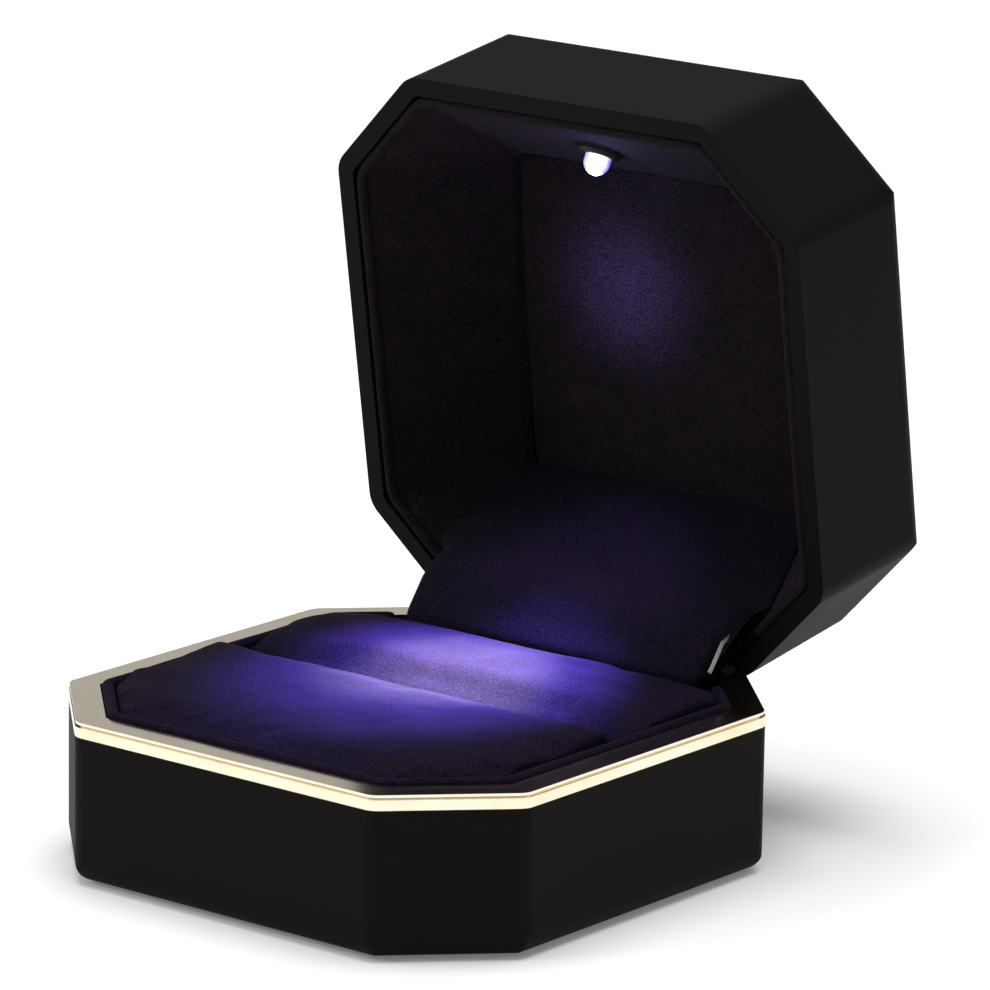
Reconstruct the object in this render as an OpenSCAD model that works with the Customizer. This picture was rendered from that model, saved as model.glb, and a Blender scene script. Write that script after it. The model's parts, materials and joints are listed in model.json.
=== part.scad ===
// Octagonal ring box with a lamp in its lid, shown standing open on its hinge.
// Millimetres. +Z is up, the lid opens towards +Y, and the origin is the middle
// of the foot that the box stands on.

/* [Case] */
// Width and depth of the case across its flat sides
box_w = 65; // [63:0.5:68]
// Length cut off each side at a corner
corner_cut = 11.65; // [11.2:0.05:12.2]
// Radius of the upright edges of the base
edge_r = 2.2; // [1.9:0.1:2.6]
// Radius of the upright edges of the lid
lid_edge_r = 3.2; // [2.2:0.1:3.6]
// Radius of the edges round the bottom and round the top of the lid
rim_r = 2.4; // [1.6:0.1:3.0]
// Wall thickness of the moulded shells
wall = 2.1; // [2.0:0.05:2.3]
// Height of the base, up to the face that the lid shuts on
base_h = 18.4; // [18.4:0.1:19.5]
// Height of the lid
lid_h = 19.4; // [19.4:0.1:21]

/* [Metal rim] */
// Width of the flat metal flange round the mouth of the base
flange_w = 3.4; // [3.2:0.1:3.6]
// Height of the upright metal band
band_h = 1.15; // [0.9:0.05:1.3]
// Depth of the groove between the band and the flange
groove = 0.6; // [0.3:0.05:0.7]

/* [Lid and hinge] */
// Angle that the lid stands open at
open_angle = 81; // [60:1:84]
// Radius of the hinge knuckles
knuckle_r = 1.2; // [1.1:0.05:1.25]
// Radius of the hinge pin
pin_r = 0.6; // [0.5:0.05:0.65]
// Half length of the hinge barrel
barrel_half = 19.0; // [18.5:0.1:19.2]

/* [Cushions] */
// Width of the slot that grips the ring
slot_w = 4.4; // [4.2:0.1:5]
// Depth of the ring slot below the crest of the cushions
slot_depth = 12; // [10:0.5:14]
// Rise of the cushions above the rim
crown = 2.2; // [1.2:0.1:2.6]

/* [Lamp] */
// Radius of the lamp bulb
led_r = 1.5; // [1.4:0.1:1.6]
// Radius of the coin cell
cell_r = 6.25; // [6:0.05:6.3]
// Thickness of the coin cell
cell_t = 1.6; // [1.2:0.1:1.8]

/* [Hidden] */
$fn = 64;

half = box_w / 2;
flat_half = half - corner_cut;            // half length of a flat side
diag_half = (half + flat_half) / sqrt(2); // distance from the middle to a corner face
lip = tan(22.5);
big = 60;
foot_h = 0.8;
shell_z = 0.25;                           // underside of the base shell
part_z = base_h + 0.2;                    // rim face of the shut lid
top_z = part_z + lid_h;
band_z = base_h - 1.7;                    // underside of the metal band
hinge_y = half - 0.5;
hinge_z = base_h - 0.5;
leaf_t = 0.6;
leaf_y = half - wall - 0.1 - leaf_t;      // inner face of both hinge leaves
notch_half = barrel_half + 0.45;
notch_y = hinge_y - knuckle_r - 0.2;

// lining of the lid: flat back, sloping walls
liner_z0 = part_z + 1.1;
liner_z1 = top_z - 4;
liner_half = 19.2;
liner_t = 1.1;
liner_in = half - flange_w;
liner_in_diag = diag_half - flange_w;
slope = atan((liner_in - liner_half) / (liner_z1 - liner_z0));

// hinge cover, drawn shut: lower flap from the tip to the fold, then up to the back panel
fold = [half - 8.4, part_z + 0.7];
knee = [half - 7.1, base_h - 4.8];
tip = [half - 3.1, base_h - 8.9];
deep = [18.8, liner_z1 - 0.1];
card_t = 0.8;
plate_t = 0.5;
cover_half = 21.3;

slot_y0 = -1.0;
slot_y1 = slot_y0 + slot_w;
pad_inset = flange_w + 1.75;
tray_back = half - 9.8;
pad_z0 = 4.0;
pad_top = base_h + crown;

// corner points and centres of an octagon inset by t, for one quarter
function half_at(t) = half - t;
function flat_at(t) = flat_half - lip * t;
function quarter(t, r) = [
  [flat_at(t) - r * lip, -half_at(t)],
  [flat_at(t) + r * lip / sqrt(2), -half_at(t) + r * lip / sqrt(2)],
  [half_at(t) - r * lip / sqrt(2), -flat_at(t) - r * lip / sqrt(2)],
  [half_at(t), -flat_at(t) + r * lip]
];
function turn(p, a) = [p[0] * cos(a) - p[1] * sin(a), p[0] * sin(a) + p[1] * cos(a)];

// flat octagon with rounded corners, inset by t from the case outline
module octagon(t, r) {
  polygon([for (k = [0:3]) for (p = quarter(t, r)) turn(p, 90 * k)]);
  for (k = [0:3]) rotate(90 * k) {
    translate([flat_at(t) - r * lip, -half_at(t) + r]) circle(r);
    translate([half_at(t) - r, -flat_at(t) + r * lip]) circle(r);
  }
}

module octagon_block(t, z0, z1, r = 0) {
  rr = r > 0 ? r : max(edge_r - t, 0.5);
  translate([0, 0, z0]) linear_extrude(z1 - z0) octagon(t, rr);
}

// bar along Y whose section is the outline of the children in X and Z
module bar(length = big * 2) {
  translate([0, length / 2, 0]) rotate([90, 0, 0]) linear_extrude(length) children();
}

// body whose four pairs of opposite faces follow two profiles:
// child 0 for the flat sides, child 1 for the corner faces
module faceted_body() {
  intersection() {
    bar() children(0);
    rotate([0, 0, 90]) bar() children(0);
    rotate([0, 0, 45]) bar() children(1);
    rotate([0, 0, -45]) bar() children(1);
  }
}

// upright section with its two lower corners rounded
module tub_profile(h, z0, z1, r) {
  translate([-h, z0 + r]) square([2 * h, z1 - z0 - r]);
  translate([-h + r, z0]) square([2 * (h - r), r * 2]);
  for (s = [-1, 1]) translate([s * (h - r), z0 + r]) circle(r);
}

// block with rounded lower edges and rounded upright edges
module tub(z0, z1, r) {
  intersection() {
    octagon_block(0, z0 - 1, z1, r);
    faceted_body() {
      tub_profile(half, z0, z1 + 1, rim_r);
      tub_profile(diag_half, z0, z1 + 1, rim_r);
    }
  }
}

// section of the hollow in the lid: straight mouth, then sloping in
module hollow_profile(mouth, back, grow) {
  polygon([
    [-mouth - grow, part_z - 1], [mouth + grow, part_z - 1],
    [mouth + grow, liner_z0], [back + grow, liner_z1], [back + grow, liner_z1 + 0.5],
    [-back - grow, liner_z1 + 0.5], [-back - grow, liner_z1], [-mouth - grow, liner_z0]
  ]);
}

module lid_hollow(grow) {
  faceted_body() {
    hollow_profile(liner_in, liner_half, grow);
    hollow_profile(liner_in_diag, liner_half * sqrt(2), grow);
  }
}

// bar along X whose section is given in Y and Z
module cross_bar(h) {
  rotate([90, 0, 90]) translate([0, 0, -h]) linear_extrude(2 * h) children();
}

// lid parts are drawn shut and swung open about the hinge
module lid_pose() {
  translate([0, hinge_y, hinge_z]) rotate([-open_angle, 0, 0])
    translate([0, -hinge_y, -hinge_z]) children();
}

// frame on the sloping front wall of the lid lining: +Z out of the wall into the hollow
wall_at = 7.9;                            // distance up the slope from its mouth edge
module on_slope() {
  translate([0, -liner_in + wall_at * sin(slope), liner_z0 + wall_at * cos(slope)])
    rotate([-90 - slope, 0, 0]) children();
}

module base_shell() color([0.02, 0.02, 0.022]) {
  difference() {
    union() {
      tub(shell_z, band_z, edge_r);
      octagon_block(1.3, band_z - 1, base_h - 0.7, 1.0);
    }
    octagon_block(wall, 2.8, base_h, 1.2);
    octagon_block(9, -1, foot_h, 1);
    // room for the barrel and for the tip of the hinge cover
    translate([-notch_half, half - wall - 0.3, band_z - 0.2]) cube([2 * notch_half, 5, 5]);
    intersection() {
      octagon_block(1.3, tip[1] - 1.0, tip[1] + 4.4, 1);
      translate([-23.4, 25, 0]) cube([46.8, 10, 30]);
    }
    // pilot holes for the hinge screws
    for (x = [-14, 0, 14]) translate([x, half - wall - 0.1, screw_z(-1)])
      rotate([-90, 0, 0]) cylinder(r = 0.85, h = 1.7);
  }
}

module base_trim() color([0.85, 0.72, 0.48]) {
  difference() {
    union() {
      octagon_block(0, band_z + 0.02, band_z + band_h, edge_r);
      octagon_block(groove, band_z + band_h - 0.1, base_h - 0.3, edge_r - groove);
      octagon_block(0.1, base_h - 0.3, base_h, edge_r - 0.1);
    }
    octagon_block(1.2, band_z - 1, base_h - 0.6, 1.0);
    octagon_block(flange_w, band_z - 1, base_h + 1, 0.9);
    translate([-notch_half, notch_y, band_z - 1]) cube([2 * notch_half, 5, 5]);
  }
}

module foot_pad() color([0.05, 0.05, 0.055]) {
  octagon_block(9.15, 0, foot_h - 0.02, 0.9);
}

// velvet lip standing inside the flange on three sides and round the corners
module base_collar() color([0.06, 0.05, 0.09]) {
  difference() {
    octagon_block(flange_w + 0.12, 4.6, base_h + 0.6, 0.8);
    octagon_block(flange_w + 1.55, 4, base_h + 2, 0.6);
    translate([-23, 20, 0]) cube([46, 20, 40]);
  }
}

// card tray under the cushions, with the step that the ring stands on
module pad_tray() color([0.09, 0.09, 0.1]) {
  intersection() {
    octagon_block(flange_w + 0.12, 0, 40, 0.8);
    union() {
      translate([-big, -big, 2.9]) cube([2 * big, big + tray_back, 1.0]);
      translate([-24, slot_y0 + 0.1, 3.8]) cube([48, slot_w - 0.2, pad_top - slot_depth - 3.8]);
      translate([-22.7, tray_back - 0.5, 3.8]) cube([45.4, 0.5, base_h - 4.4]);
    }
  }
}

module front_pad() color([0.12, 0.1, 0.3]) {
  intersection() {
    octagon_block(pad_inset, 0, 40, 0.8);
    cross_bar(big) polygon([
      [-half, pad_z0], [slot_y0, pad_z0], [slot_y0, pad_top - 0.8], [slot_y0 - 0.6, pad_top - 0.3],
      [-12, pad_top - 0.3], [-23, pad_top - 0.9], [-half + pad_inset, pad_top - 1.9],
      [-half, pad_top - 1.9]
    ]);
  }
}

module rear_pad() color([0.12, 0.1, 0.3]) {
  intersection() {
    octagon_block(pad_inset, 0, 40, 0.8);
    cross_bar(big) polygon([
      [slot_y1, pad_z0], [tray_back - 0.6, pad_z0], [tray_back - 0.6, base_h + 0.9],
      [19, pad_top - 0.3], [14, pad_top], [9, pad_top - 0.2], [slot_y1 + 1.6, pad_top - 1.2],
      [slot_y1, pad_top - 2.6]
    ]);
  }
}

// knuckle rolled from a leaf, over the stretch x0 to x1
module knuckle(x0, x1, side) {
  edge = leaf_y;
  z_web = side > 0 ? hinge_z + knuckle_r - leaf_t : hinge_z - knuckle_r;
  translate([x0, hinge_y, hinge_z]) rotate([0, 90, 0]) cylinder(r = knuckle_r, h = x1 - x0);
  translate([x0, edge, z_web]) cube([x1 - x0, hinge_y - edge, leaf_t]);
}

module pin_bore() {
  translate([-big, hinge_y, hinge_z]) rotate([0, 90, 0]) cylinder(r = pin_r + 0.05, h = 2 * big);
}

step = barrel_half * 2 / 5;
leaf_drop = 5.2;
function screw_z(side) = side > 0 ? hinge_z + 6.2 : hinge_z - 3.0;

module leaf(side) {
  reach = side > 0 ? 9.4 : leaf_drop;
  z_foot = side > 0 ? hinge_z + knuckle_r - leaf_t : hinge_z - reach;
  z_head = side > 0 ? hinge_z + reach : hinge_z - knuckle_r + leaf_t;
  difference() {
    union() {
      translate([-barrel_half, leaf_y, z_foot]) cube([2 * barrel_half, leaf_t, z_head - z_foot]);
      if (side < 0) for (k = [0, 2, 4]) knuckle(-barrel_half + k * step, -barrel_half + (k + 1) * step, side);
      if (side > 0) for (k = [1, 3])
        knuckle(-barrel_half + k * step + 0.12, -barrel_half + (k + 1) * step - 0.12, side);
    }
    pin_bore();
    for (x = [-14, 0, 14]) translate([x, leaf_y - 1, screw_z(side)])
      rotate([-90, 0, 0]) cylinder(r = 0.9, h = 3);
  }
}

module leaf_screws(side) {
  for (x = [-14, 0, 14]) translate([x, leaf_y, screw_z(side)]) rotate([-90, 0, 0]) difference() {
    union() {
      cylinder(r = 0.8, h = 2.2);
      translate([0, 0, -0.5]) cylinder(r = 1.6, h = 0.5);
    }
    for (a = [0, 90]) rotate([0, 0, a]) translate([-0.9, -0.2, -0.6]) cube([1.8, 0.4, 0.35]);
  }
}

module hinge_base_leaf() color([0.6, 0.6, 0.62]) leaf(-1);

module base_leaf_screws() color([0.5, 0.5, 0.52]) leaf_screws(-1);

module hinge_pin() color([0.7, 0.7, 0.72]) {
  translate([0, hinge_y, hinge_z]) rotate([0, 90, 0]) {
    translate([0, 0, -barrel_half - 0.05]) cylinder(r = pin_r, h = 2 * barrel_half + 0.1);
    for (s = [-1, 1]) translate([0, 0, s * (barrel_half + 0.25) - 0.2]) cylinder(r = 0.95, h = 0.4);
  }
}

module switch_magnet() color([0.75, 0.75, 0.76]) {
  translate([0, -half + wall + 0.08, base_h - 5.5]) rotate([-90, 0, 0]) cylinder(r = 2.4, h = 1.0);
}

module lid_shell() color([0.02, 0.02, 0.022]) lid_pose() {
  difference() {
    translate([0, 0, part_z + top_z]) mirror([0, 0, 1]) tub(part_z, top_z, lid_edge_r);
    octagon_block(wall, part_z - 1, top_z - 2, 1.2);
    translate([-notch_half, half - wall - 0.3, part_z - 1]) cube([2 * notch_half, 5, 1.75]);
    for (x = [-14, 0, 14]) translate([x, half - wall - 0.1, screw_z(1)])
      rotate([-90, 0, 0]) cylinder(r = 0.85, h = 1.7);
  }
}

// everything behind the front face of the hinge cover
module behind_cover(gap) {
  cross_bar(big) polygon([
    [fold[0] - gap, 0], [fold[0] - gap, fold[1]], [deep[0] - gap, deep[1]],
    [deep[0] - gap, top_z + 1], [big, top_z + 1], [big, 0]
  ]);
}

module lid_collar() color([0.06, 0.05, 0.09]) lid_pose() {
  difference() {
    octagon_block(wall + 0.1, part_z + 0.1, liner_z0 - 0.05, 1.1);
    octagon_block(flange_w, 0, top_z, 0.9);
    translate([-cover_half - 0.7, 20, 0]) cube([2 * cover_half + 1.4, 20, 60]);
  }
}

module lid_liner() color([0.05, 0.045, 0.08]) lid_pose() {
  difference() {
    intersection() {
      lid_hollow(liner_t);
      translate([-big, -big, liner_z0]) cube([2 * big, 2 * big, liner_z1 - liner_z0]);
    }
    lid_hollow(0);
    behind_cover(0.1);
    on_slope() translate([0, 0, -3]) cylinder(r = led_r + 0.15, h = 6);
  }
}

module lid_back_panel() color([0.05, 0.045, 0.08]) lid_pose() {
  translate([-liner_half - 1, -liner_half - 0.4, liner_z1 + 0.1])
    cube([2 * liner_half + 2, liner_half * 2 + 1.4, 1.0]);
}

// run of points a distance d behind the flap's face, from the tip to the fold
function unit(v) = v / norm(v);
function square_to(a, b) = [unit(b - a)[1], -unit(b - a)[0]];
n_tip = square_to(tip, knee);
n_fold = square_to(knee, fold);
n_knee = unit(n_tip + n_fold);
function flap_line(d, from = 0) = [
  tip + unit(knee - tip) * from + n_tip * d, knee + n_knee * d / (n_knee * n_tip), fold + n_fold * d
];
function backwards(p) = [for (k = [len(p) - 1:-1:0]) p[k]];

module hinge_cover() color([0.08, 0.07, 0.18]) lid_pose() {
  cross_bar(cover_half) polygon(concat(flap_line(0), [fold + [0.6, 0.7]], backwards(flap_line(card_t))));
  intersection() {
    cross_bar(big) polygon([fold, deep, deep + [card_t, 0], fold + [card_t, 0]]);
    lid_hollow(-0.12);
  }
}

// bent steel plate behind the flap, its bright edges just wider than the velvet
module cover_plate() color([0.7, 0.7, 0.72]) lid_pose() {
  face = card_t + 0.04;
  cross_bar(cover_half + 0.2)
    polygon(concat(flap_line(face, 1.6), backwards(flap_line(face + plate_t, 1.6))));
}

module hinge_lid_leaf() color([0.6, 0.6, 0.62]) lid_pose() leaf(1);

module lid_leaf_screws() color([0.5, 0.5, 0.52]) lid_pose() leaf_screws(1);

module led() color([0.95, 0.95, 1]) lid_pose() on_slope() {
  translate([0, 0, -liner_t - 0.9]) cylinder(r = led_r + 0.4, h = 0.8);
  translate([0, 0, -liner_t - 0.5]) cylinder(r = led_r, h = liner_t + 2.1);
  translate([0, 0, 1.6]) sphere(led_r);
}

module led_bezel() color([0.1, 0.1, 0.1]) lid_pose() on_slope() {
  difference() {
    union() {
      translate([0, 0, 0.05]) cylinder(r = led_r + 1.0, h = 0.5);
      translate([0, 0, 0.55]) cylinder(r1 = led_r + 1.0, r2 = led_r + 0.6, h = 0.4);
    }
    translate([0, 0, -1]) cylinder(r = led_r + 0.08, h = 4);
  }
}

board_z = -liner_t - 1.0;
module led_board() color([0.1, 0.35, 0.15]) lid_pose() on_slope() {
  translate([-9.5, -5.2, board_z - 0.85]) cube([15.2, 7.4, 0.8]);
}

module reed_switch() color([0.7, 0.8, 0.75]) lid_pose() on_slope() {
  translate([-8.7, -3.2, board_z - 1.9]) rotate([0, 90, 0]) cylinder(r = 0.95, h = 10);
  for (x = [-9.2, 0.9]) translate([x, -3.4, board_z - 2.1]) cube([0.9, 0.4, 1.2]);
}

holder_x = 13.2;
holder_y = -2.7;
seat_z = liner_t * cos(slope) + 0.08;     // back of the lining, square to its face
module cell_holder() color([0.12, 0.12, 0.12]) lid_pose() on_slope() {
  translate([holder_x, holder_y, -seat_z]) difference() {
    translate([0, 0, -cell_t - 0.7]) cylinder(r = cell_r + 0.6, h = cell_t + 0.6);
    translate([0, 0, -cell_t - 1.7]) cylinder(r = cell_r + 0.12, h = cell_t + 1.2);
    translate([-10, -2.2, -cell_t - 1.7]) cube([6, 4.4, cell_t + 1.2]);
  }
}

module coin_cell() color([0.75, 0.75, 0.78]) lid_pose() on_slope() {
  translate([holder_x, holder_y, -seat_z - 0.52 - cell_t]) {
    translate([0, 0, 0.35]) cylinder(r = cell_r, h = cell_t - 0.35);
    cylinder(r = cell_r - 1.1, h = 0.4);
  }
}

module cell_contact() color([0.8, 0.7, 0.4]) lid_pose() on_slope() {
  z = -seat_z - 0.52 - cell_t;
  translate([4.0, holder_y - 1.2, z - 0.22]) cube([10, 2.4, 0.2]);
}

base_shell();
base_trim();
foot_pad();
base_collar();
pad_tray();
front_pad();
rear_pad();
hinge_base_leaf();
base_leaf_screws();
hinge_pin();
switch_magnet();
lid_shell();
lid_collar();
lid_liner();
lid_back_panel();
hinge_cover();
cover_plate();
hinge_lid_leaf();
lid_leaf_screws();
led();
led_bezel();
led_board();
reed_switch();
cell_holder();
coin_cell();
cell_contact();
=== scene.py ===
# %% [markdown]
# # A lighted ring box
#
# The box is an octagonal case in black lacquer, with a metal rim, a velvet inside and a small lamp
# in the lid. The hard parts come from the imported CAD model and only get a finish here. The soft
# parts are made in this file: the lips, the two ring cushions, the lining of the lid and the flap
# that hides the hinge. Everything is in metres, in the frame of the CAD model.

import json
import math

import bmesh
import bpy
from mathutils import Matrix, Vector, noise


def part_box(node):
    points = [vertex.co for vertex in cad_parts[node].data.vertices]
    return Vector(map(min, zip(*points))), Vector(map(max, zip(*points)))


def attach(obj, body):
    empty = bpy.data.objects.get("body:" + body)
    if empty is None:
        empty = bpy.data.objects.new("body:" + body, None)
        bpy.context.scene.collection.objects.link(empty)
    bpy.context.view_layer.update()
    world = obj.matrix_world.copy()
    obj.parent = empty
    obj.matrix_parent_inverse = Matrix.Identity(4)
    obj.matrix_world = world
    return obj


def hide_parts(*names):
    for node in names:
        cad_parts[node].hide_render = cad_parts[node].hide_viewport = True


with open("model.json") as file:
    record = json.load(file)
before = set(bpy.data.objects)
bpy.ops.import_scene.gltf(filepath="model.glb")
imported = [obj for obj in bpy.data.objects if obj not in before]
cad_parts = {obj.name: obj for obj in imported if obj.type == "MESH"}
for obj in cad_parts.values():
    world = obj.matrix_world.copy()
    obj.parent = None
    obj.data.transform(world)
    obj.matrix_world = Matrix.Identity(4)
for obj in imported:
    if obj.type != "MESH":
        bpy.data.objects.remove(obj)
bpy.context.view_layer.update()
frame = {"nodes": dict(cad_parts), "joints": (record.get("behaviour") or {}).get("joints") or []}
nodes = frame["nodes"]

# %% [markdown]
# ## Measures that the soft parts hang on
#
# Velvet is cut to fit a finished case, so its sizes should come from the case. They could be typed in
# again, but then the two models drift apart. Here the octagon's two reaches, to a flat side and to a
# corner face, are measured on the metal rim, and the hinge's place and travel are read from its joint.

# %% Measure the case and the hinge
mm = 0.001
hinge = frame["joints"][0]
hinge_y, hinge_z = hinge["pos_m"][1:]
open_angle = math.radians(hinge["range_deg"][1])
pivot = Vector((0, hinge_y, hinge_z))
swing = Matrix.Translation(pivot) @ Matrix.Rotation(-open_angle, 4, "X") @ Matrix.Translation(-pivot)


def reach(node, direction):
    """How far a node goes from the middle, along a direction."""
    way = Vector(direction).normalized()
    return max(v.co.dot(way) for v in nodes[node].data.vertices)


def shut_box(node):
    """Lowest and highest corner of a lid node, with the lid shut."""
    points = [swing.inverted() @ v.co for v in nodes[node].data.vertices]
    low = Vector([min(p[k] for p in points) for k in range(3)])
    high = Vector([max(p[k] for p in points) for k in range(3)])
    return low, high


side = reach("base_trim", (1, 0, 0))
face = reach("base_trim", (1, -1, 0))
rim_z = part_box("base_trim")[1].z
print(f"flat side {side / mm:.2f} mm, corner face {face / mm:.2f} mm, rim at {rim_z / mm:.2f} mm")

# %% [markdown]
# ## Writing a finish as arithmetic
#
# A finish is a small network of nodes. It could be wired by hand, but a sum such as
# `0.3 + 0.1 * smudge` says more than six lines of links. This class holds one socket. Each operator on
# it adds one Math node, and node() adds any other kind.

# %% A socket that arithmetic works on
class Socket:
    """One output in a node tree."""

    def __init__(self, socket):
        self.socket = socket

    def node(self, kind, settings=None, values=None, output=0):
        """Adds a node: its settings first, then the values or links of its sockets."""
        tree = self.socket.id_data
        made = tree.nodes.new("ShaderNode" + kind)
        for name, value in (settings or {}).items():
            if name == "stops":
                for stop, (position, colour) in zip(made.color_ramp.elements, value):
                    stop.position = position
                    stop.color = (*colour, 1)
            else:
                setattr(made, name, value)
        for name, value in (values or {}).items():
            if isinstance(value, Socket):
                tree.links.new(value.socket, made.inputs[name])
            else:
                made.inputs[name].default_value = value
        return Socket(made.outputs[output]) if made.outputs else None

    def math(self, operation, a, b):
        return self.node("Math", {"operation": operation}, {0: a, 1: b})

    def __add__(self, other):
        return self.math("ADD", self, other)

    def __mul__(self, other):
        return self.math("MULTIPLY", self, other)

    __radd__ = __add__
    __rmul__ = __mul__


def begin(name):
    """A new material, and the place on the piece in metres."""
    material = bpy.data.materials.new(name)
    material.use_nodes = True
    material.node_tree.nodes.clear()
    place = material.node_tree.nodes.new("ShaderNodeTexCoord")
    return material, Socket(place.outputs["Object"])


def grain(place, size, detail=2.0, roughness=0.5):
    """Soft noise from 0 to 1 whose blobs are about this size."""
    values = {"Vector": place, "Scale": 1 / size, "Detail": detail, "Roughness": roughness}
    return place.node("TexNoise", {}, values)


def mix(share, first, second):
    """A blend of two colours."""
    pair = {0: share}
    for key, colour in ((6, first), (7, second)):
        pair[key] = colour if isinstance(colour, Socket) else (*colour, 1)
    return share.node("Mix", {"data_type": "RGBA"}, pair, output=2)


def bump(height, depth, strength=1.0):
    """A surface normal from a height from 0 to 1, that is this deep in metres."""
    return height.node("Bump", {}, {"Height": height, "Distance": depth, "Strength": strength})


def coat(place, **values):
    """Ends the material in one Principled shader. An underscore in a name stands for a space."""
    named = {name.replace("_", " "): value for name, value in values.items()}
    shader = place.node("BsdfPrincipled", {}, named)
    place.node("OutputMaterial", {}, {"Surface": shader})


# %% [markdown]
# ## Velvet
#
# Velvet is a short upright pile. It is nearly black where the eye looks down into it, and pale where
# light grazes the tips. Real fibres would be far too many at this size. Fine noise, cut into dark and
# pale flecks, stands for the tips: the pale flecks are painted highlights, where light would catch
# them. A faint sheen gives a trace of the rim of light, and wider noise gives the patches where a thumb
# has brushed the pile, in the same pale colour. The cushions, the lining and the flap each have a cloth
# of their own, because they differ in how violet they look.

# %% Velvet
def velvet(name, colour, stroked_and_glint, sheen, sheen_tint):
    material, place = begin(name)
    pile = grain(place, 0.19 * mm, 1.5, 0.6)
    patches = grain(place, 4.5 * mm, 3.0, 0.55)
    # Pale flecks here are painted highlights on the pile's tips; the wider patches are the pile's own tone.
    painted_tip_glint = place.node("ValToRGB", {"stops": [(0.46, (0, 0, 0)), (0.62, (1, 1, 1))]}, {0: pile})
    lay_and_glint = patches * 0.3 + painted_tip_glint * 0.7
    coat(
        place,
        Base_Color=mix(lay_and_glint, colour, stroked_and_glint),
        Roughness=0.82 + 0.14 * pile,
        Normal=bump(pile * 0.8 + patches * 0.3, 0.11 * mm, 0.6),
        Sheen_Weight=sheen,
        Sheen_Roughness=0.42,
        Sheen_Tint=(*sheen_tint, 1),
        Specular_IOR_Level=0.05,
    )
    return material


cushion_velvet = velvet(
    "cushion_velvet", (0.0010, 0.0006, 0.0018), (0.0170, 0.0100, 0.0270), 0.006, (0.7, 0.55, 1.0)
)
lining_velvet = velvet(
    "lining_velvet", (0.0030, 0.0021, 0.0029), (0.0200, 0.0145, 0.0185), 0.030, (0.85, 0.7, 0.9)
)
flap_velvet = velvet(
    "flap_velvet", (0.0020, 0.0012, 0.0030), (0.0150, 0.0100, 0.0215), 0.022, (0.75, 0.6, 1.0)
)


# %% [markdown]
# ## Black lacquer
#
# The case is moulded plastic, sprayed with a dark satin lacquer. A plain black would look like a hole.
# What tells the eye that it is lacquer is the soft gleam along the rounded edges, a trace of orange
# peel from the spray gun, faint smudges from hands, and hairlines from being wiped.

# %% Lacquer
def lacquer():
    material, place = begin("black_lacquer")
    peel = grain(place, 0.9 * mm, 1.0)
    smudge = grain(place, 14 * mm, 4.0, 0.6)
    wiped = place.node("Mapping", {}, {"Vector": place, "Rotation": (0.3, 0.2, 0.7), "Scale": (1, 14, 14)})
    hairline = grain(wiped, 3.0 * mm, 4.0, 0.7)
    coat(
        place,
        Base_Color=mix(smudge * 0.7 + hairline * 0.3, (0.0030, 0.0025, 0.0022), (0.0068, 0.0058, 0.0052)),
        Roughness=0.46 + 0.14 * smudge + 0.06 * hairline,
        Normal=bump(peel * 0.7 + hairline * 0.3, 0.02 * mm, 0.35),
        Specular_IOR_Level=0.05,
    )
    return material


# %% [markdown]
# ## The metal finishes
#
# A metal's colour is the colour of what it mirrors, so each one needs only a tint and a roughness that
# varies. One function makes all of them: pressed and polished for the rim, brushed for the hinge.

# %% Metals
def metal(name, tint, worn_tint, polish, brushed):
    material, place = begin(name)
    stretched = place.node("Mapping", {}, {"Vector": place, "Scale": (1, brushed, brushed)})
    streak = grain(stretched, 2.4 * mm, 4.0, 0.65)
    touch = grain(place, 6 * mm, 3.0)
    coat(
        place,
        Base_Color=mix(touch, tint, worn_tint),
        Metallic=1.0,
        Roughness=polish + 0.07 * touch + 0.08 * streak,
        Normal=bump(streak, 0.006 * mm, 0.4),
    )
    return material


# %% [markdown]
# ## The plain finishes
#
# Felt, card, moulded plastic and circuit board all show fine relief and little gloss. A single function
# with two colours, a grain size and a depth covers all but the board, with no need for a texture of
# each. The board has a function of its own, for its tracks.

# %% Matt finishes
def matt(name, colour, fleck_colour, size, depth, roughness, specular=0.3, stretch=1.0):
    material, place = begin(name)
    laid = place.node("Mapping", {}, {"Vector": place, "Scale": (1, stretch, 1)})
    fibre = grain(laid, size, 4.0, 0.65)
    cloud = grain(place, size * 9, 2.0)
    coat(
        place,
        Base_Color=mix(fibre * 0.7 + cloud * 0.3, colour, fleck_colour),
        Roughness=roughness + 0.1 * fibre,
        Normal=bump(fibre, depth, 0.6),
        Specular_IOR_Level=specular,
    )
    return material


def circuit_board():
    """Green solder mask, with raised copper tracks that show through it."""
    material, place = begin("circuit_board")
    tracks = place.node("TexBrick", {"offset": 0.5}, {
        "Vector": place, "Scale": 1 / (4 * mm), "Mortar Size": 0.06, "Mortar Smooth": 0.2,
        "Color1": (0, 0, 0, 1), "Color2": (0, 0, 0, 1), "Mortar": (1, 1, 1, 1),
    }, output=1)
    weave = grain(place, 0.3 * mm)
    coat(
        place,
        Base_Color=mix(tracks * 0.8 + weave * 0.2, (0.008, 0.075, 0.028), (0.05, 0.24, 0.07)),
        Roughness=0.3 + 0.15 * weave,
        Normal=bump(tracks, 0.04 * mm, 0.5),
    )
    return material


# %% [markdown]
# ## The lamp lens
#
# The bulb is a clear dome moulded over a tiny lamp. Lit, it is white in the middle and bluer round its
# outline. The blue follows the angle that the dome is seen at, so it moves with the view, and a blue
# fixed to the dome's skirt would be better. A dome that glows does not light the box by itself well, so
# it only has to look right: the spot lights further down do the lighting.

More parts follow.
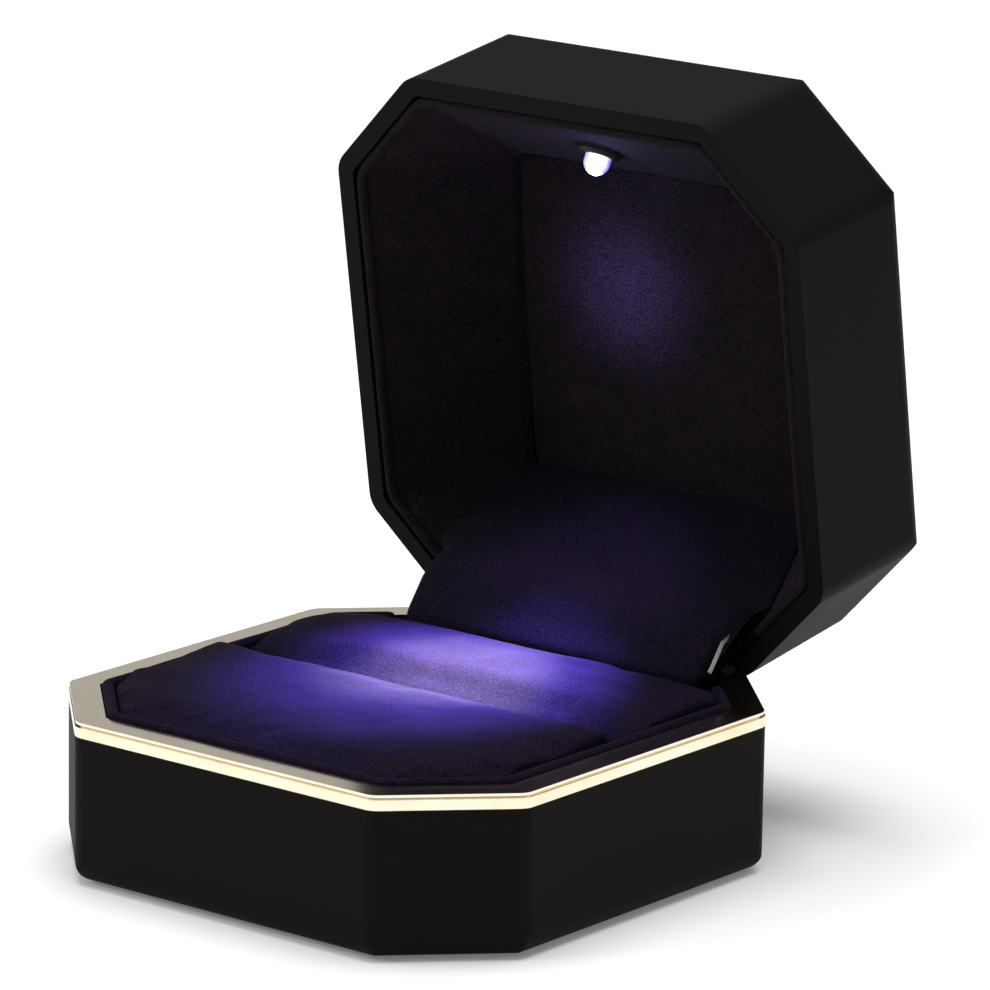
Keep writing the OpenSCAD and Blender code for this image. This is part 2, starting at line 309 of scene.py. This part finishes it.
# %% Lamp lens
def lamp_lens():
    material, place = begin("lamp_lens")
    frost = grain(place, 0.5 * mm)
    edge = place.node("LayerWeight", {}, {"Blend": 0.62}, output=1)
    coat(
        place,
        Base_Color=mix(frost, (0.82, 0.84, 0.95), (0.92, 0.94, 1.0)),
        Roughness=0.12 + 0.1 * frost,
        Emission_Color=mix(edge * 1.5, (1.0, 0.98, 1.0), (0.10, 0.08, 0.60)),
        Emission_Strength=1.3,
    )
    return material


# %% [markdown]
# ## Finishing the hard parts
#
# Each imported part keeps its shape and gets a finish for its own material.

# %% Give each hard part its finish
gold = metal("gold_rim", (0.95, 0.89, 0.76), (0.86, 0.73, 0.50), 0.09, 6)
steel = metal("steel", (0.24, 0.24, 0.25), (0.16, 0.16, 0.17), 0.30, 12)
plastic = matt("black_plastic", (0.004, 0.004, 0.005), (0.010, 0.010, 0.011), 0.2 * mm, 0.03 * mm, 0.5)
glass = matt("switch_glass", (0.20, 0.30, 0.25), (0.45, 0.58, 0.50), 1.5 * mm, 0.01 * mm, 0.08, 0.6)
finishes = {
    "base_shell": lacquer(),
    "base_trim": gold,
    "foot_pad": matt("foot_felt", (0.008, 0.008, 0.009), (0.035, 0.035, 0.038), 0.25 * mm, 0.12 * mm, 0.85),
    "pad_tray": matt("card", (0.010, 0.008, 0.014), (0.028, 0.022, 0.040), 0.3 * mm, 0.05 * mm, 0.8, 0.1),
    "hinge_base_leaf": steel,
    "switch_magnet": metal("magnet", (0.72, 0.71, 0.70), (0.60, 0.59, 0.58), 0.18, 1),
    "led": lamp_lens(),
    "led_bezel": plastic,
    "led_board": circuit_board(),
    "reed_switch": glass,
    "cell_contact": metal("contact_brass", (0.80, 0.60, 0.30), (0.62, 0.43, 0.20), 0.22, 8),
}
shared = {
    "lid_shell": "base_shell",
    "base_leaf_screws": "hinge_base_leaf",
    "lid_leaf_screws": "hinge_base_leaf",
    "hinge_lid_leaf": "hinge_base_leaf",
    "hinge_pin": "hinge_base_leaf",
    "cover_plate": "hinge_base_leaf",
    "cell_holder": "led_bezel",
    "coin_cell": "switch_magnet",
}
for node in shared:
    finishes[node] = finishes[shared[node]]
for node, finish in finishes.items():
    mesh = nodes[node].data
    mesh.materials.clear()
    mesh.materials.append(finish)
    mesh.polygons.foreach_set("material_index", [0] * len(mesh.polygons))
print(len(finishes), "hard parts have a finish")


# %% [markdown]
# ## Rings and skins
#
# Most of the soft parts follow the octagon, at different heights and different distances in. They
# could be cut from blocks, but cloth has no sharp cuts. So each one is a skin drawn over a stack of
# rings. Every ring has the same number of points, whatever its size, so neighbours always join up.

# %% Rings of points, and a skin over them
def ring(flat_reach, corner_reach, radius, per_side=10, per_corner=4):
    """An octagon with rounded corners, from the left end of its back side round to the right end."""
    near = flat_reach - radius
    far = math.sqrt(2) * (corner_reach - radius) - near
    points = []
    for k in range(2, 10):
        centre = Vector((near, far)) if k % 2 == 0 else Vector((far, near))
        centre.rotate(Matrix.Rotation(math.radians(90 * (k // 2)), 2))
        for step in range(per_corner + 1):
            angle = math.radians(45 * (k + step / per_corner))
            points.append(centre + radius * Vector((math.cos(angle), math.sin(angle))))
    full = []
    for k, point in enumerate(points):
        full.append(point)
        if k % (per_corner + 1) == per_corner and k + 1 < len(points):
            following = points[k + 1]
            full.extend(point.lerp(following, step / per_side) for step in range(1, per_side))
    return full


def skin(name, rows, rows_meet=False, ends_meet=False):
    """A closed mesh over rows of points. Where a direction doesn't close on itself, its ends are capped."""
    shell = bmesh.new()
    grid = [[shell.verts.new(point) for point in row] for row in rows]
    width = len(grid[0])
    for i in range(len(grid) - (not rows_meet)):
        near, far = grid[i], grid[(i + 1) % len(grid)]
        for j in range(width - (not ends_meet)):
            following = (j + 1) % width
            shell.faces.new((near[j], near[following], far[following], far[j]))
    if not rows_meet:
        shell.faces.new(grid[0])
        shell.faces.new(grid[-1])
    if not ends_meet:
        shell.faces.new([row[0] for row in grid])
        shell.faces.new([row[-1] for row in grid])
    bmesh.ops.recalc_face_normals(shell, faces=shell.faces)
    mesh = bpy.data.meshes.new(name)
    shell.to_mesh(mesh)
    shell.free()
    piece = bpy.data.objects.new(name, mesh)
    bpy.context.scene.collection.objects.link(piece)
    return piece


def dress(piece, material, body, node, smooth_levels=1):
    """Gives a soft piece its cloth and its body, and hides the CAD node that it stands for."""
    piece.data.materials.clear()
    piece.data.materials.append(material)
    piece.data.shade_smooth()
    if smooth_levels:
        rounding = piece.modifiers.new("rounding", "SUBSURF")
        rounding.levels = smooth_levels
        rounding.render_levels = smooth_levels
    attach(piece, body)
    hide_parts(node)
    print(f"{piece.name}: {len(piece.data.polygons)} faces")


def waver(point, size, amount):
    """A small, smooth and repeatable unevenness at a point, as cloth has."""
    return amount * noise.noise(Vector(point) / size)


# %% [markdown]
# ## The velvet lip of the base
#
# Inside the metal flange stands a strip of card, wrapped in velvet and rolled over at the top. It runs
# round the front and the sides, and stops on the back corners, where the flap of the hinge takes over.
# Its section is a narrow upright with a round top. Swept round a ring, that gives one continuous roll.

# %% Make a rolled lip
def rolled_lip(name, outer, inner, foot_z, top_z, back_y, bend):
    """A strip with a half-round top, between two distances in from the case, ending short of back_y.
    Its corners have the radius bend at its outer side."""
    middle, thick = (outer + inner) / 2, (inner - outer) / 2
    direction = 1 if top_z > foot_z else -1
    section = [(outer, foot_z)]
    for step in range(9):
        angle = math.pi * step / 8
        across = middle - thick * math.cos(angle)
        up = top_z - direction * thick * (1 - math.sin(angle))
        section.append((across, up))
    section.append((inner, foot_z))
    rows = []
    for inset, height in section:
        outline = ring(side - inset, face - inset, bend + outer - inset)
        kept = [p for p, q in zip(outline, ring(side - outer, face - outer, bend)) if q.y < back_y]
        row = []
        for p in kept:
            wave = waver((p.x, p.y, height), 5 * mm, 0.10 * mm) if height != foot_z else 0
            row.append(Vector((p.x, p.y, height + wave)))
        rows.append(row)
    return skin(name, rows, rows_meet=True)


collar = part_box("base_collar")
collar_outer = side - collar[1].x
collar_inner = collar_outer + 1.43 * mm
base_lip = rolled_lip("base_lip", collar_outer, collar_inner, collar[0].z, collar[1].z, 25.6 * mm, 2.2 * mm)
dress(base_lip, cushion_velvet, "base", "base_collar")

# %% [markdown]
# ## The ring cushions
#
# Two foam blocks in velvet stand either side of the slot and grip the ring. Each block is drawn first
# as a plain closed form, a little too large for its room, from its section from front to back. Then a
# short cloth simulation with air pressure swells it, which softens its faces. The simulation is made
# for things as large as a chair, so the block is ten times its size for it and is shrunk again after,
# and a cap limits how far a point may move. Last, the block is crowded into its room: what would stand
# outside is pressed flat against the lip and the slot, and the ends are lowered by a formula. So the
# simulation gives only the swell, and the outline comes from the room.

# %% Blocks of foam
grow = 10
voxel, pressure, cap = 0.007, 4, 0.008
blow_frames = 20
crowd = 1.09


def half_width(y, inset):
    """Half the width of the octagon at a distance y from its middle."""
    return min(side - inset, math.sqrt(2) * (face - inset) - abs(y))


def foam_block(name, section, floor_z, inset):
    """A closed block whose top follows (y, z) points, as wide as the octagon allows."""
    rows = []
    for y, top in section:
        wide = half_width(y, inset)
        rounding = min(0.5 * mm, (top - floor_z) / 3)
        row = [Vector((-wide, y, floor_z)), Vector((wide, y, floor_z))]
        row.append(Vector((wide, y, top - rounding)))
        row.append(Vector((wide - rounding * 0.3, y, top - rounding * 0.3)))
        row.append(Vector((wide - rounding, y, top)))
        row.append(Vector((-wide + rounding, y, top)))
        row.append(Vector((-wide + rounding * 0.3, y, top - rounding * 0.3)))
        row.append(Vector((-wide, y, top - rounding)))
        rows.append(row)
    block = skin(name, rows, ends_meet=True)
    block.data.transform(Matrix.Scale(grow, 4))
    return block


def finished_mesh(piece):
    """The mesh of a piece with its modifiers applied."""
    evaluated = piece.evaluated_get(bpy.context.evaluated_depsgraph_get())
    return bpy.data.meshes.new_from_object(evaluated)


def replace_mesh(piece, mesh):
    piece.modifiers.clear()
    piece.data = mesh


def swell(block):
    """Remeshes a block evenly, blows it up as cloth, and caps how far each point has moved."""
    even = block.modifiers.new("even", "REMESH")
    even.mode = "VOXEL"
    even.voxel_size = voxel
    replace_mesh(block, finished_mesh(block))
    start = [v.co.copy() for v in block.data.vertices]
    cloth = block.modifiers.new("cloth", "CLOTH")
    cloth.settings.quality = 6
    cloth.settings.use_pressure = True
    cloth.settings.uniform_pressure_force = pressure
    cloth.settings.effector_weights.gravity = 0
    cloth.point_cache.frame_end = blow_frames
    for number in range(1, blow_frames + 1):
        bpy.context.scene.frame_set(number)
    blown = finished_mesh(block)
    furthest = 0
    for vertex, origin in zip(blown.vertices, start):
        moved = vertex.co - origin
        furthest = max(furthest, moved.length)
        if moved.length > cap:
            vertex.co = origin + moved * (cap / moved.length)
    replace_mesh(block, blown)
    bpy.context.scene.frame_set(1)
    return furthest


def settle(block, front_y, back_y, floor_z, inset, droop):
    """Shrinks a swollen block, then crowds it into its room, so that it meets the lip in a firm edge."""
    block.data.transform(Matrix.Scale(1 / grow, 4))
    top_z = max(v.co.z for v in block.data.vertices)
    middle_y = (front_y + back_y) / 2
    for vertex in block.data.vertices:
        p = vertex.co
        lift = (p.z - floor_z) / (top_z - floor_z)
        p.z -= droop * lift * (abs(p.x) / half_width(p.y, inset)) ** 4
        p.y = min(max(middle_y + (p.y - middle_y) * crowd, front_y), back_y)
        p.x *= crowd
        wide = half_width(p.y, inset)
        p.x = min(max(p.x, -wide), wide)
        p.z = max(p.z + waver(p, 7 * mm, 0.22 * mm) + waver(p, 2.4 * mm, 0.05 * mm), floor_z)


# %% Make the two cushions
front_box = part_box("front_pad")
rear_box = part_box("rear_pad")
pad_inset = side - front_box[1].x
crest = front_box[1].z
proud = 0.5 * mm
slot_front = front_box[1].y
slot_back = rear_box[0].y
front_edge = front_box[0].y
front_section = [
    (front_edge - proud, crest - 1.9 * mm),
    (front_edge + 2.2 * mm, crest - 1.3 * mm),
    (-22 * mm, crest - 0.9 * mm),
    (-16 * mm, crest - 0.6 * mm),
    (-10 * mm, crest - 0.5 * mm),
    (-4 * mm, crest - 0.4 * mm),
    (slot_front + 1.6 * proud, crest - 0.2 * mm),
]
front_cushion = foam_block("front_cushion", front_section, front_box[0].z, pad_inset - proud)
print("front cushion swelled", round(swell(front_cushion) / grow / mm, 2), "mm")
settle(front_cushion, front_edge, slot_front, front_box[0].z, pad_inset - 0.05 * mm, 1.0 * mm)
dress(front_cushion, cushion_velvet, "base", "front_pad")

rear_top = rear_box[1].z
rear_edge = rear_box[1].y
rear_section = [
    (slot_back, rear_top - 3.0 * mm),
    (slot_back + 1.0 * mm, rear_top - 2.1 * mm),
    (slot_back + 2.6 * mm, rear_top - 1.5 * mm),
    (9.5 * mm, rear_top - 0.8 * mm),
    (13 * mm, rear_top - 0.5 * mm),
    (16.5 * mm, rear_top - 0.7 * mm),
    (rear_edge - 2.0 * mm, rear_top - 1.3 * mm),
    (rear_edge + proud, rear_top - 1.7 * mm),
]
rear_cushion = foam_block("rear_cushion", rear_section, rear_box[0].z, pad_inset - proud)
print("rear cushion swelled", round(swell(rear_cushion) / grow / mm, 2), "mm")
settle(rear_cushion, slot_back, rear_edge, rear_box[0].z, pad_inset - 0.05 * mm, 1.4 * mm)
dress(rear_cushion, cushion_velvet, "base", "rear_pad")

# %% [markdown]
# ## The lip of the lid
#
# The lid has the same rolled strip round its mouth, standing on the inside of the moulded wall. It is
# made with the lid shut, where the octagon lies level, and is then swung open about the hinge.

# %% Make the lid's lip
def swing_open(piece):
    piece.data.transform(swing)
    return piece


lid_collar = shut_box("lid_collar")
lip_outer = side - lid_collar[1].x
lip_inner = lip_outer + 1.2 * mm
lid_lip = rolled_lip("lid_lip", lip_outer, lip_inner, lid_collar[1].z, lid_collar[0].z, 27.6 * mm, 4.2 * mm)
dress(swing_open(lid_lip), lining_velvet, "lid", "lid_collar")

# %% [markdown]
# ## The lining of the lid
#
# The lining is card covered with velvet, folded from the octagonal mouth down to a square. Rings that
# change from one outline to the other give its seven sloping walls at once, with a soft crease between
# walls. It is thin, so the skin goes down the inside and comes back up behind. The lamp's hole is cut
# after, with a boolean, because a round hole has no place in a stack of rings.

# %% Make the lining
liner = shut_box("lid_liner")
mouth_z, deep_z = liner[0].z, liner[1].z
mouth_inset = 3.4 * mm
deep_side = 19.2 * mm
liner_t = 0.9 * mm
widening = 0.055


def hollow_reach(z):
    """Distances of the lining's flat sides and corner faces at a depth, and how sharp its creases are."""
    share = (z - mouth_z) / (deep_z - mouth_z)
    crease = (0.9 - 0.3 * share) * mm
    deep_face = math.sqrt(2) * (deep_side - crease) + crease
    flat = (side - mouth_inset) * (1 - share) + deep_side * share
    corner = (face - mouth_inset) * (1 - share) + deep_face * share
    return flat, corner, crease


def splay(p, share):
    """Moves a point out towards the hinge end of the hollow, which is cut a little wider there."""
    return p.x * (1 + widening * share * p.y / deep_side)


def lining_row(z, out):
    flat, corner, crease = hollow_reach(z)
    share = (z - mouth_z) / (deep_z - mouth_z)
    puff = 0.16 * mm * math.sin(math.pi * share) if out == 0 else 0
    outline = ring(flat + out - puff, corner + out - puff, crease)
    row = []
    for p in outline:
        wave = waver((p.x, p.y, z), 6 * mm, 0.10 * mm) if out == 0 else 0
        row.append(Vector((splay(p, share) + wave, p.y + wave, z)))
    return row


depths = [mouth_z + (deep_z - mouth_z) * step / 12 for step in range(13)]
rows = [lining_row(z, 0) for z in depths] + [lining_row(z, liner_t) for z in reversed(depths)]
lid_lining = swing_open(skin("lid_lining", rows, rows_meet=True))


# %% Cut the lamp's hole
bulb = nodes["led_bezel"]
bulb_points = [v.co.copy() for v in bulb.data.vertices]
bulb_middle = sum(bulb_points, Vector()) / len(bulb_points)
slope = math.atan2(side - mouth_inset - deep_side, deep_z - mouth_z)
bulb_way = (swing.to_3x3() @ Vector((0, math.cos(slope), -math.sin(slope)))).normalized()


def bore(piece, middle, way, radius, length):
    """Cuts a round hole through a piece."""
    drill = bpy.data.objects.new("drill", bpy.data.meshes.new("drill"))
    bpy.context.scene.collection.objects.link(drill)
    shape = bmesh.new()
    bmesh.ops.create_cone(shape, cap_ends=True, segments=40, radius1=radius, radius2=radius, depth=length)
    shape.to_mesh(drill.data)
    shape.free()
    drill.data.transform(Matrix.Translation(middle) @ way.to_track_quat("Z", "Y").to_matrix().to_4x4())
    cut = piece.modifiers.new("bore", "BOOLEAN")
    cut.object = drill
    cut.solver = "EXACT"
    replace_mesh(piece, finished_mesh(piece))
    bpy.data.objects.remove(drill)


bore(lid_lining, bulb_middle, bulb_way, 1.7 * mm, 8 * mm)
dress(lid_lining, lining_velvet, "lid", "lid_liner", smooth_levels=0)

# %% [markdown]
# ## The back panel of the lid
#
# A square pad closes the lining. Cloth pulled over a card has a low crown, because the wadding under it
# is squeezed at the edges. That crown is a formula, so the panel is a plain grid with its middle raised.

# %% Make the back panel
panel = shut_box("lid_back_panel")


def panel_side(u, v, z):
    x = panel[0].x + (panel[1].x - panel[0].x) * u
    y = panel[0].y + (panel[1].y - panel[0].y) * v
    return Vector((x, y, z))


def crown(u, v):
    low = max(0.0, 1 - (2 * u - 1) ** 6) * max(0.0, 1 - (2 * v - 1) ** 6)
    return 0.55 * mm * low + waver((u, v, 0), 0.22, 0.12 * mm) * low


def panel_rows():
    steps = 26
    rows = []
    for i in range(steps + 1):
        v = i / steps
        front = [panel_side(j / steps, v, panel[0].z - crown(j / steps, v)) for j in range(steps + 1)]
        back = [panel_side(j / steps, v, panel[1].z) for j in range(steps, -1, -1)]
        rows.append(front + back)
    return rows


lid_panel = swing_open(skin("lid_panel", panel_rows(), ends_meet=True))
dress(lid_panel, lining_velvet, "lid", "lid_back_panel")

# %% [markdown]
# ## The flap over the hinge
#
# One length of stiffened velvet hides the hinge. From the back panel it runs down as the eighth wall of
# the lining, bends at the mouth of the lid, and its free end hangs in a bow behind the rear cushion.
# It rides on the lid and slides past the base, so it is not stretched between the two. Its curve is
# drawn once in side view, and repeated across the width with the edges rolled back.

# %% Make the flap
flap_t = 0.8 * mm
flap_half = 21.4 * mm
deep_y = 18.7 * mm
fold_z = mouth_z + 0.2 * mm
flap_points = [
    (side - 2.4 * mm, rim_z - 9.1 * mm),
    (side - 3.5 * mm, rim_z - 8.7 * mm),
    (side - 5.2 * mm, rim_z - 7.0 * mm),
    (side - 7.1 * mm, rim_z - 4.9 * mm),
    (side - 8.3 * mm, rim_z - 2.2 * mm),
    (side - 8.75 * mm, fold_z - 1.0 * mm),
    (side - 8.8 * mm, fold_z + 0.6 * mm),
    (side - 10.0 * mm, fold_z + 3.8 * mm),
    (side - 12.0 * mm, deep_z - 5.0 * mm),
    (deep_y, deep_z + 0.1 * mm),
]


def smooth_line(points, per_span):
    """A curve through the points, that leaves each one in the direction of its neighbours."""
    line = []
    last = len(points) - 1
    spots = [Vector(p) for p in points]
    for k in range(last):
        before, a, b, after = spots[max(k - 1, 0)], spots[k], spots[k + 1], spots[min(k + 2, last)]
        for step in range(per_span):
            t = step / per_span
            tangent_a, tangent_b = (b - before) / 2, (after - a) / 2
            line.append(
                a * (2 * t ** 3 - 3 * t ** 2 + 1) + tangent_a * (t ** 3 - 2 * t ** 2 + t)
                + b * (3 * t ** 2 - 2 * t ** 3) + tangent_b * (t ** 3 - t ** 2)
            )
    line.append(spots[-1])
    return line


def flap_width(y, z):
    """Half the flap's width: its own below the fold, and the hollow's above it."""
    above = min(max((z - fold_z + 0.4 * mm) / (1.0 * mm), 0), 1)
    flat, corner, crease = hollow_reach(max(z, mouth_z))
    share = max(z - mouth_z, 0) / (deep_z - mouth_z)
    room = min(math.sqrt(2) * corner - y, flat) * (1 + widening * share * y / deep_side) + 0.1 * mm
    return flap_half + (room - flap_half) * above * above * (3 - 2 * above)


def flap_rows():
    line = smooth_line(flap_points, 5)
    steps = 40
    rows = []
    for i in range(steps + 1):
        across = 2 * i / steps - 1
        rolled = flap_t * 0.45 * abs(across) ** 18
        front, back = [], []
        for k, spot in enumerate(line):
            ahead, behind = line[min(k + 1, len(line) - 1)], line[max(k - 1, 0)]
            along = (ahead - behind).normalized()
            inward = Vector((along.y, -along.x))
            x = across * flap_width(spot.x, spot.y)
            wave = waver((x, spot.x, spot.y), 9 * mm, 0.16 * mm)
            outer = spot + inward * (rolled + wave)
            inner = spot + inward * (flap_t - rolled * 0.5)
            front.append(Vector((x, outer.x, outer.y)))
            back.append(Vector((x, inner.x, inner.y)))
        rows.append(front + back[::-1])
    return rows


hinge_flap = swing_open(skin("hinge_flap", flap_rows(), ends_meet=True))
dress(hinge_flap, flap_velvet, "lid", "hinge_cover")

# %% [markdown]
# ## The lamp's light
#
# The lamp throws a narrow beam down on the cushions and leaves a blue halo round it. One light can't
# have two colours, so several share its place: a tight white spot, a wider bluer one, a faint spill
# and a wash on the flap. The soft patch on the back panel has a light of its own, standing in the
# hollow, because a lamp so close to the wall would leave a streak. That one isn't where the real light
# comes from. A point light by the bulb gives the faint halo round it. All of them ride on the lid, so
# the light goes where the lid goes.

# %% Light the lamp
tip = bulb_middle + bulb_way * 2.4 * mm
stand_off = 12 * mm
panel_spot = swing @ Vector((-4 * mm, -5 * mm, deep_z))
panel_start = swing @ Vector((-4 * mm, -5 * mm, deep_z - stand_off))
panel_way = (panel_spot - panel_start).normalized()
flap_spot = Vector((-1 * mm, 29.5 * mm, 25 * mm))
flap_way = (flap_spot - tip).normalized()


def beam(name, watts, colour, angle, softness, way=bulb_way, start=tip):
    light = bpy.data.lights.new(name, "SPOT")
    light.energy = watts
    light.color = colour
    light.spot_size = math.radians(angle)
    light.spot_blend = softness
    light.shadow_soft_size = 1.2 * mm
    lamp = bpy.data.objects.new(name, light)
    bpy.context.scene.collection.objects.link(lamp)
    lamp.matrix_world = Matrix.Translation(start) @ way.to_track_quat("-Z", "Y").to_matrix().to_4x4()
    lamp.visible_camera = False
    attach(lamp, "lid")


beam("beam_core", 5.0, (0.95, 1.0, 0.50), 30, 1.0)
beam("beam_halo", 8.5, (0.22, 0.15, 1.0), 48, 1.0)
beam("beam_spill", 0.10, (0.50, 0.36, 1.0), 74, 1.0)
beam("beam_wall", 0.026, (0.36, 0.26, 1.0), 100, 1.0, panel_way, panel_start)
beam("beam_flap", 0.17, (0.46, 0.32, 1.0), 46, 1.0, flap_way)
glow = bpy.data.lights.new("glow", "POINT")
glow.energy = 0.0020
glow.color = (0.40, 0.34, 1.0)
glow.shadow_soft_size = 0.3 * mm
glow_lamp = bpy.data.objects.new("glow", glow)
glow_lamp.location = bulb_middle + bulb_way * 3.3 * mm
bpy.context.scene.collection.objects.link(glow_lamp)
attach(glow_lamp, "lid")
print("lamp tip at", [round(v / mm, 1) for v in tip])

# %% [markdown]
# ## Floor, studio light and camera
#
# A dark glossy box on a pale floor is lit by what it mirrors. A wide overhead panel and a pale sky that
# darkens upwards give a bright floor, and leave the lacquer dark. Small lamps would leave hard spots.

# %% Set the stage
def floor():
    plane = bmesh.new()
    bmesh.ops.create_grid(plane, x_segments=1, y_segments=1, size=3.0)
    mesh = bpy.data.meshes.new("floor")
    plane.to_mesh(mesh)
    plane.free()
    piece = bpy.data.objects.new("floor", mesh)
    bpy.context.scene.collection.objects.link(piece)
    material, place = begin("floor_paper")
    coat(
        place, Base_Color=(0.9, 0.9, 0.9, 1), Roughness=0.9, Specular_IOR_Level=0.1,
        Emission_Color=(1, 1, 1, 1), Emission_Strength=0.12,
    )
    mesh.materials.append(material)


def sky(horizon, zenith):
    world = bpy.data.worlds.new("studio")
    world.use_nodes = True
    world.node_tree.nodes.clear()
    way = Socket(world.node_tree.nodes.new("ShaderNodeTexCoord").outputs["Generated"])
    height = way.node("SeparateXYZ", {}, {0: way}, output=2)
    shade = way.node("ValToRGB", {"stops": [(0.0, (horizon,) * 3), (0.9, (zenith,) * 3)]}, {0: height})
    light = way.node("Background", {}, {"Color": shade, "Strength": 1.0})
    way.node("OutputWorld", {}, {"Surface": light})
    bpy.context.scene.world = world


def panel_light(name, watts, size, place, target=(0, 0, 0.03)):
    light = bpy.data.lights.new(name, "AREA")
    light.energy = watts
    light.shape = "SQUARE"
    light.size = size
    lamp = bpy.data.objects.new(name, light)
    bpy.context.scene.collection.objects.link(lamp)
    lamp.location = place
    lamp.rotation_euler = (Vector(target) - Vector(place)).to_track_quat("-Z", "Y").to_euler()


floor()
sky(0.50, 0.30)
panel_light("overhead", 11.0, 0.9, (0.0, 0.1, 1.1))
panel_light("front_left", 4.5, 0.6, (-0.75, -0.75, 0.75))

# %% Place the camera
azimuth, elevation, roll = math.radians(38.681), math.radians(14.063), math.radians(0.884)
distance = 728.8 * mm
aim = Vector((0, 0, 35 * mm))
shift_right, shift_up = 8.48 * mm, 5.99 * mm
lens_px, picture_px, sensor = 6674.2, 990, 36

back = Vector((
    math.sin(azimuth) * math.cos(elevation), -math.cos(azimuth) * math.cos(elevation), math.sin(elevation)
))
level = Vector((0, 0, 1)).cross(back).normalized()
right = level * math.cos(roll) + back.cross(level) * math.sin(roll)
up = back.cross(right)
eye = bpy.data.objects.new("camera", bpy.data.cameras.new("camera"))
bpy.context.scene.collection.objects.link(eye)
eye.data.sensor_width = sensor
eye.data.lens = lens_px / picture_px * sensor
eye.data.clip_start, eye.data.clip_end = 0.01, 20
turn = Matrix((right, up, back)).transposed().to_4x4()
eye.matrix_world = Matrix.Translation(aim + back * distance + right * shift_right + up * shift_up) @ turn
bpy.context.scene.camera = eye
bpy.context.scene.view_settings.view_transform = "Standard"
print("camera at", [round(v / mm, 1) for v in eye.matrix_world.translation])
